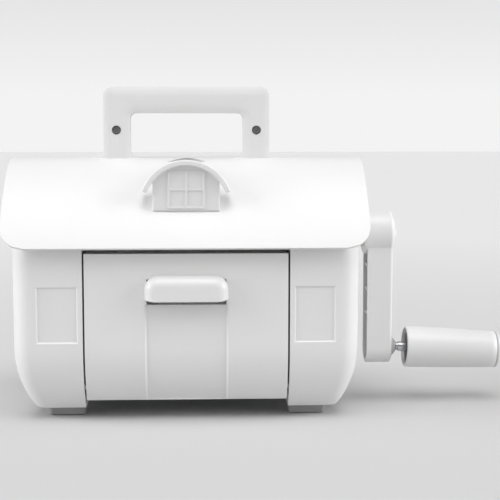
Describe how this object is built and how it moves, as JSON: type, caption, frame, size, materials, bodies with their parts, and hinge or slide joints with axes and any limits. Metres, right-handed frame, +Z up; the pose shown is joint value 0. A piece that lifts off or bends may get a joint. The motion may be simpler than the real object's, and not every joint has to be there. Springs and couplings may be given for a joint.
{
  "type": "die cutting machine",
  "caption": "House-shaped hand-cranked die cutting machine: roof with carrying handle, fold-down front and rear doors as feed tables, geared steel rollers inside.",
  "frame": {"origin": "centre of the whole part's box at the height of the surface it stands on", "axes": "+X towards the crank, along the rollers; +Y towards the rear door; +Z up"},
  "size_m": [0.4228, 0.1766, 0.2742],
  "materials": {
    "white_plastic": "white moulded ABS with a soft satin gloss",
    "inner_plastic": "white moulded ABS, fine matt grain on the feed table",
    "sheet_steel": "zinc-plated sheet steel",
    "steel": "turned and ground steel",
    "bronze": "sintered bronze",
    "dark_plastic": "dark nylon and ferrite, matt",
    "rubber": "pale grey matt rubber"
  },
  "bodies": {
    "frame": {"left_housing": "white_plastic", "right_housing": "white_plastic", "roof_front_shell": "white_plastic", "roof_rear_shell": "white_plastic", "dormer_window": "white_plastic", "base_plate": "sheet_steel", "left_frame_plate": "sheet_steel", "right_frame_plate": "sheet_steel", "front_top_rail": "sheet_steel", "rear_top_rail": "sheet_steel", "front_feed_bed": "sheet_steel", "rear_feed_bed": "sheet_steel", "handle_screw_left": "steel", "handle_screw_right": "steel", "front_tie_rod": "steel", "rear_tie_rod": "steel", "front_hinge_rod": "steel", "rear_hinge_rod": "steel", "front_left_frame_screw": "steel", "front_right_frame_screw": "steel", "rear_left_frame_screw": "steel", "rear_right_frame_screw": "steel", "upper_left_bush": "bronze", "upper_right_bush": "bronze", "lower_left_bush": "bronze", "lower_right_bush": "bronze", "crank_inner_bush": "bronze", "crank_outer_bush": "bronze", "front_catch_magnet": "dark_plastic", "rear_catch_magnet": "dark_plastic", "front_left_foot": "rubber", "front_right_foot": "rubber", "rear_left_foot": "rubber", "rear_right_foot": "rubber"},
    "front_door": {"front_door_shell": "white_plastic", "front_door_pull": "white_plastic", "front_door_platform": "inner_plastic", "front_door_strike": "steel"},
    "rear_door": {"rear_door_shell": "white_plastic", "rear_door_pull": "white_plastic", "rear_door_platform": "inner_plastic", "rear_door_strike": "steel"},
    "upper_roller_set": {"upper_roller": "steel", "drive_gear": "dark_plastic", "upper_sync_gear": "dark_plastic", "upper_circlip": "steel"},
    "lower_roller_set": {"lower_roller": "steel", "lower_sync_gear": "dark_plastic", "lower_circlip": "steel"},
    "crank": {"crank_shaft": "steel", "crank_pinion": "steel", "crank_arm": "white_plastic", "crank_hub_cap": "white_plastic", "crank_hub_screw": "steel", "grip_spindle": "steel"},
    "grip": {"grip_sleeve": "white_plastic", "grip_core": "dark_plastic", "grip_end_cap": "white_plastic"}
  },
  "joints": [
    {"name": "front_door_fold", "type": "hinge", "parent": "frame", "child": "front_door", "pos_m": [-0.06278, -0.062, 0.027], "axis": [1, 0, 0], "range_deg": [0, 90]},
    {"name": "rear_door_fold", "type": "hinge", "parent": "frame", "child": "rear_door", "pos_m": [-0.06278, 0.062, 0.027], "axis": [-1, 0, 0], "range_deg": [0, 90]},
    {"name": "upper_roller_turn", "type": "hinge", "parent": "frame", "child": "upper_roller_set", "pos_m": [-0.06278, 0, 0.085], "axis": [1, 0, 0], "continuous": true},
    {"name": "lower_roller_turn", "type": "hinge", "parent": "frame", "child": "lower_roller_set", "pos_m": [-0.06278, 0, 0.041], "axis": [1, 0, 0], "continuous": true},
    {"name": "crank_turn", "type": "hinge", "parent": "frame", "child": "crank", "pos_m": [0.05722, 0, 0.149], "axis": [1, 0, 0], "continuous": true},
    {"name": "grip_spin", "type": "hinge", "parent": "crank", "child": "grip", "pos_m": [0.11522, 0, 0.0481], "axis": [0.9992, 0, -0.0401], "continuous": true}
  ],
  "couplings": [
    {"joint": "lower_roller_turn", "follows": "upper_roller_turn", "ratio": -1},
    {"joint": "crank_turn", "follows": "upper_roller_turn", "ratio": -3.5714}
  ]
}
